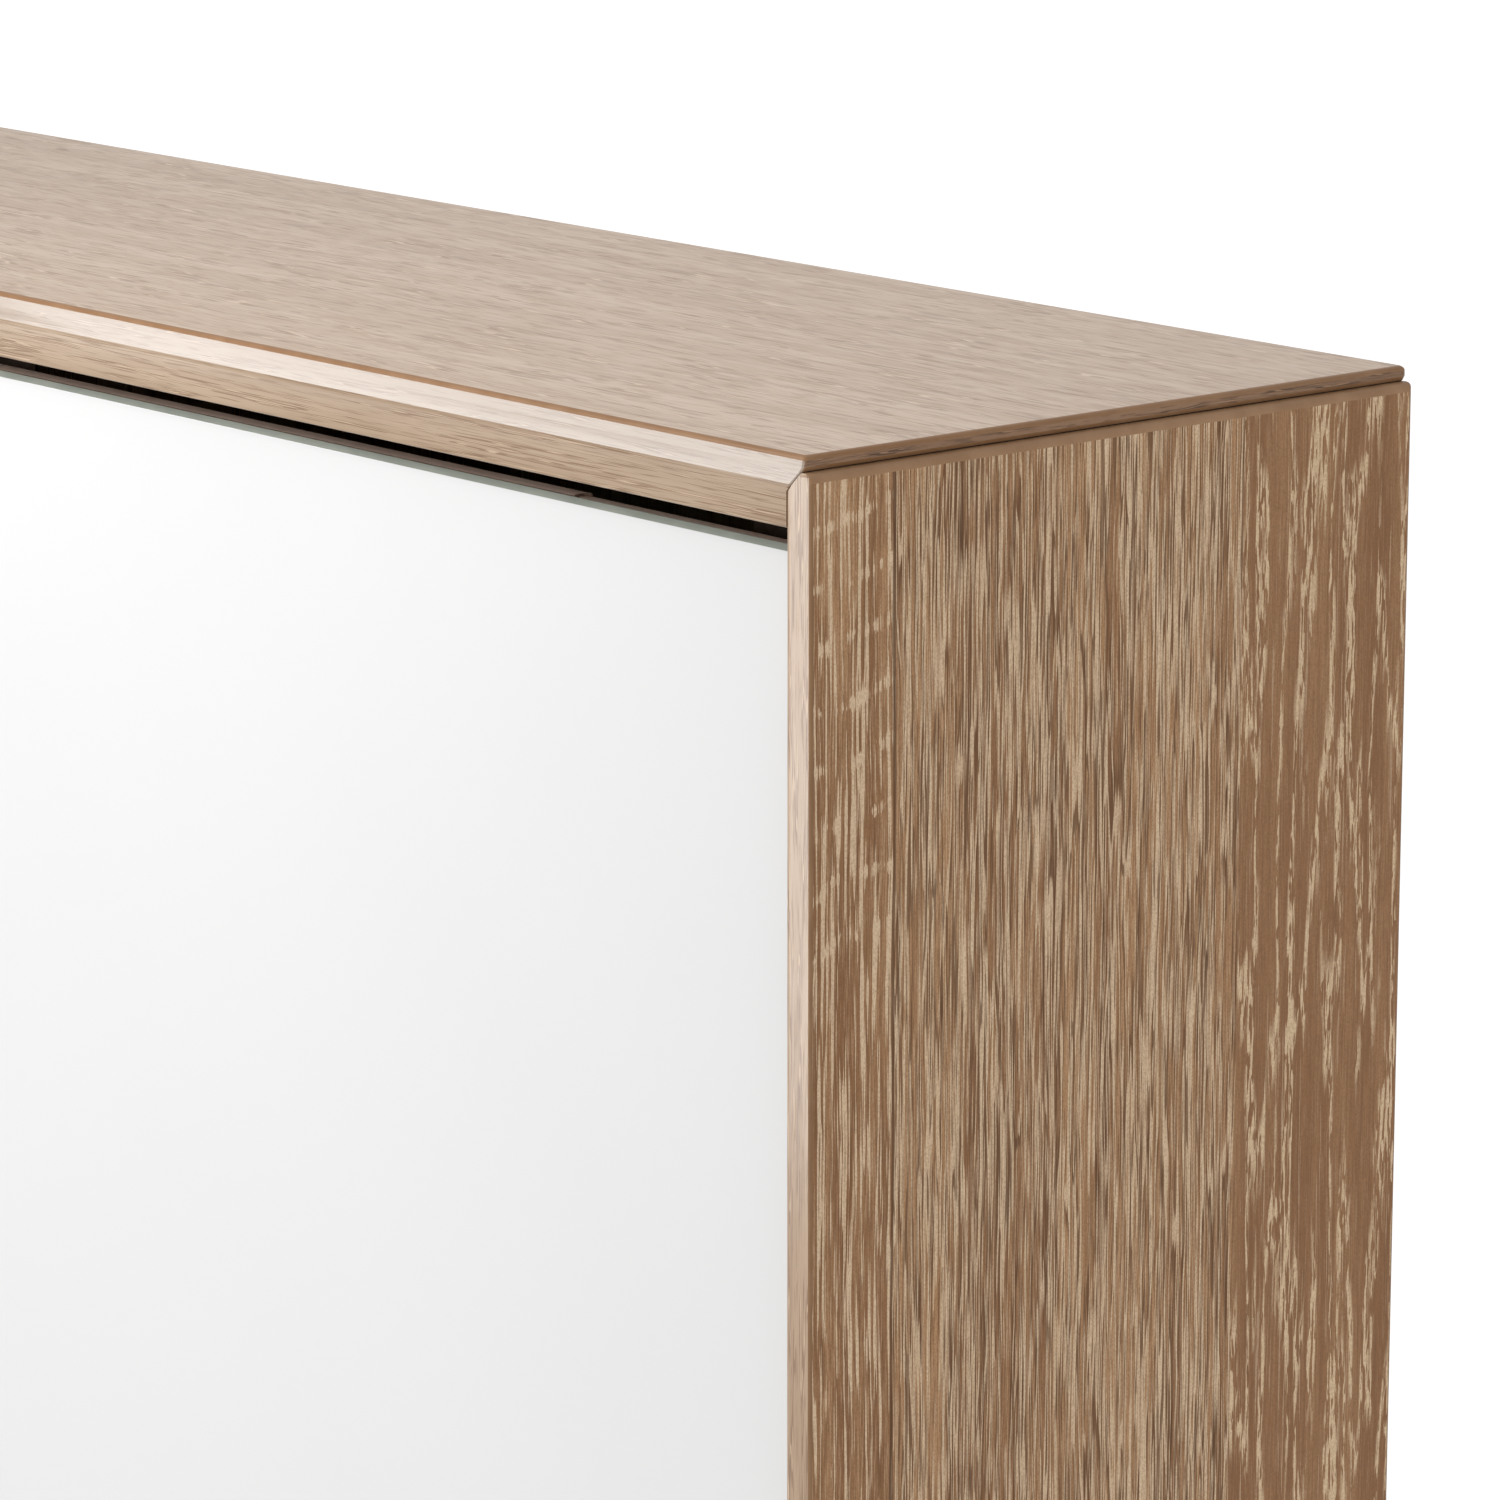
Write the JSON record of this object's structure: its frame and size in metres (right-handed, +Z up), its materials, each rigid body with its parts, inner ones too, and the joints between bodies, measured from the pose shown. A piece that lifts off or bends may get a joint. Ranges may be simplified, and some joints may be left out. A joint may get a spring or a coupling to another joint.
{
  "type": "sliding door wardrobe",
  "caption": "Wide wood-decor wardrobe with mitred top, hidden track and white glass sliding doors on rollers; hanging bay on one side, shelves on the other.",
  "frame": {"origin": "middle of the footprint, on the floor", "axes": "+Z up, +X to the right seen from the front, the doors face -Y"},
  "size_m": [2.25, 0.62, 2.2],
  "materials": {
    "oak_laminate": "satin sawn-oak decor laminate",
    "back_board": "printed hardboard",
    "door_board": "brown melamine board",
    "white_glass": "polished, back-painted white",
    "foam_tape": "matte foam tape",
    "aluminium": "satin anodised",
    "zinc_steel": "zinc plated",
    "black_steel": "black phosphated",
    "chrome_tube": "chrome plated",
    "nylon": "moulded nylon",
    "white_plastic": "moulded",
    "black_plastic": "moulded",
    "rubber": "matte",
    "beech": "turned dowel"
  },
  "bodies": {
    "carcass": {"angle_screws": "zinc_steel", "back_joining_profile": "white_plastic", "back_panel_left": "back_board", "back_panel_right": "back_board", "bottom_panel": "oak_laminate", "bottom_track": "aluminium", "centre_partition": "oak_laminate", "clothes_rail": "chrome_tube", "corner_angles": "zinc_steel", "hat_shelf_left": "oak_laminate", "hat_shelf_right": "oak_laminate", "levelling_feet": "black_plastic", "partition_dowels": "beech", "plinth_front": "oak_laminate", "plinth_rear": "oak_laminate", "rail_sockets": "white_plastic", "shelf_pins": "zinc_steel", "shelf_right_lower": "oak_laminate", "shelf_right_middle": "oak_laminate", "shelf_right_upper": "oak_laminate", "side_glides": "black_plastic", "side_panel_left": "oak_laminate", "side_panel_right": "oak_laminate", "top_fascia": "oak_laminate", "top_panel": "oak_laminate", "top_track": "aluminium", "track_screws": "zinc_steel", "track_stops": "rubber", "wall_tabs": "zinc_steel"},
    "door_right": {"door_right_axles": "zinc_steel", "door_right_board": "door_board", "door_right_bond_strips": "foam_tape", "door_right_bottom_guides": "nylon", "door_right_glass": "white_glass", "door_right_grip_profile": "aluminium", "door_right_hanger_screws": "black_steel", "door_right_hangers": "black_steel"},
    "door_left": {"door_left_axles": "zinc_steel", "door_left_board": "door_board", "door_left_bond_strips": "foam_tape", "door_left_bottom_guides": "nylon", "door_left_glass": "white_glass", "door_left_grip_profile": "aluminium", "door_left_hanger_screws": "black_steel", "door_left_hangers": "black_steel"},
    "door_right_roller_1": {"door_right_wheel_1": "nylon"},
    "door_right_roller_2": {"door_right_wheel_2": "nylon"},
    "door_right_roller_3": {"door_right_wheel_3": "nylon"},
    "door_right_roller_4": {"door_right_wheel_4": "nylon"},
    "door_left_roller_1": {"door_left_wheel_1": "nylon"},
    "door_left_roller_2": {"door_left_wheel_2": "nylon"},
    "door_left_roller_3": {"door_left_wheel_3": "nylon"},
    "door_left_roller_4": {"door_left_wheel_4": "nylon"}
  },
  "joints": [
    {"name": "door_right_slide", "type": "slide", "parent": "carcass", "child": "door_right", "axis": [-1, 0, 0], "range_m": [0, 1.078]},
    {"name": "door_left_slide", "type": "slide", "parent": "carcass", "child": "door_left", "axis": [1, 0, 0], "range_m": [0, 1.078]},
    {"name": "door_right_roller_1_spin", "type": "hinge", "parent": "door_right", "child": "door_right_roller_1", "pos_m": [0.023, -0.273, 2.1593], "axis": [0, 1, 0], "continuous": true},
    {"name": "door_right_roller_2_spin", "type": "hinge", "parent": "door_right", "child": "door_right_roller_2", "pos_m": [0.057, -0.273, 2.1593], "axis": [0, 1, 0], "continuous": true},
    {"name": "door_right_roller_3_spin", "type": "hinge", "parent": "door_right", "child": "door_right_roller_3", "pos_m": [1.021, -0.273, 2.1593], "axis": [0, 1, 0], "continuous": true},
    {"name": "door_right_roller_4_spin", "type": "hinge", "parent": "door_right", "child": "door_right_roller_4", "pos_m": [1.055, -0.273, 2.1593], "axis": [0, 1, 0], "continuous": true},
    {"name": "door_left_roller_1_spin", "type": "hinge", "parent": "door_left", "child": "door_left_roller_1", "pos_m": [-1.055, -0.237, 2.1593], "axis": [0, 1, 0], "continuous": true},
    {"name": "door_left_roller_2_spin", "type": "hinge", "parent": "door_left", "child": "door_left_roller_2", "pos_m": [-1.021, -0.237, 2.1593], "axis": [0, 1, 0], "continuous": true},
    {"name": "door_left_roller_3_spin", "type": "hinge", "parent": "door_left", "child": "door_left_roller_3", "pos_m": [-0.057, -0.237, 2.1593], "axis": [0, 1, 0], "continuous": true},
    {"name": "door_left_roller_4_spin", "type": "hinge", "parent": "door_left", "child": "door_left_roller_4", "pos_m": [-0.023, -0.237, 2.1593], "axis": [0, 1, 0], "continuous": true}
  ],
  "couplings": [
    {"joint": "door_right_roller_1_spin", "follows": "door_right_slide", "rad_per_m": -90.909},
    {"joint": "door_right_roller_2_spin", "follows": "door_right_slide", "rad_per_m": -90.909},
    {"joint": "door_right_roller_3_spin", "follows": "door_right_slide", "rad_per_m": -90.909},
    {"joint": "door_right_roller_4_spin", "follows": "door_right_slide", "rad_per_m": -90.909},
    {"joint": "door_left_roller_1_spin", "follows": "door_left_slide", "rad_per_m": 90.909},
    {"joint": "door_left_roller_2_spin", "follows": "door_left_slide", "rad_per_m": 90.909},
    {"joint": "door_left_roller_3_spin", "follows": "door_left_slide", "rad_per_m": 90.909},
    {"joint": "door_left_roller_4_spin", "follows": "door_left_slide", "rad_per_m": 90.909}
  ]
}
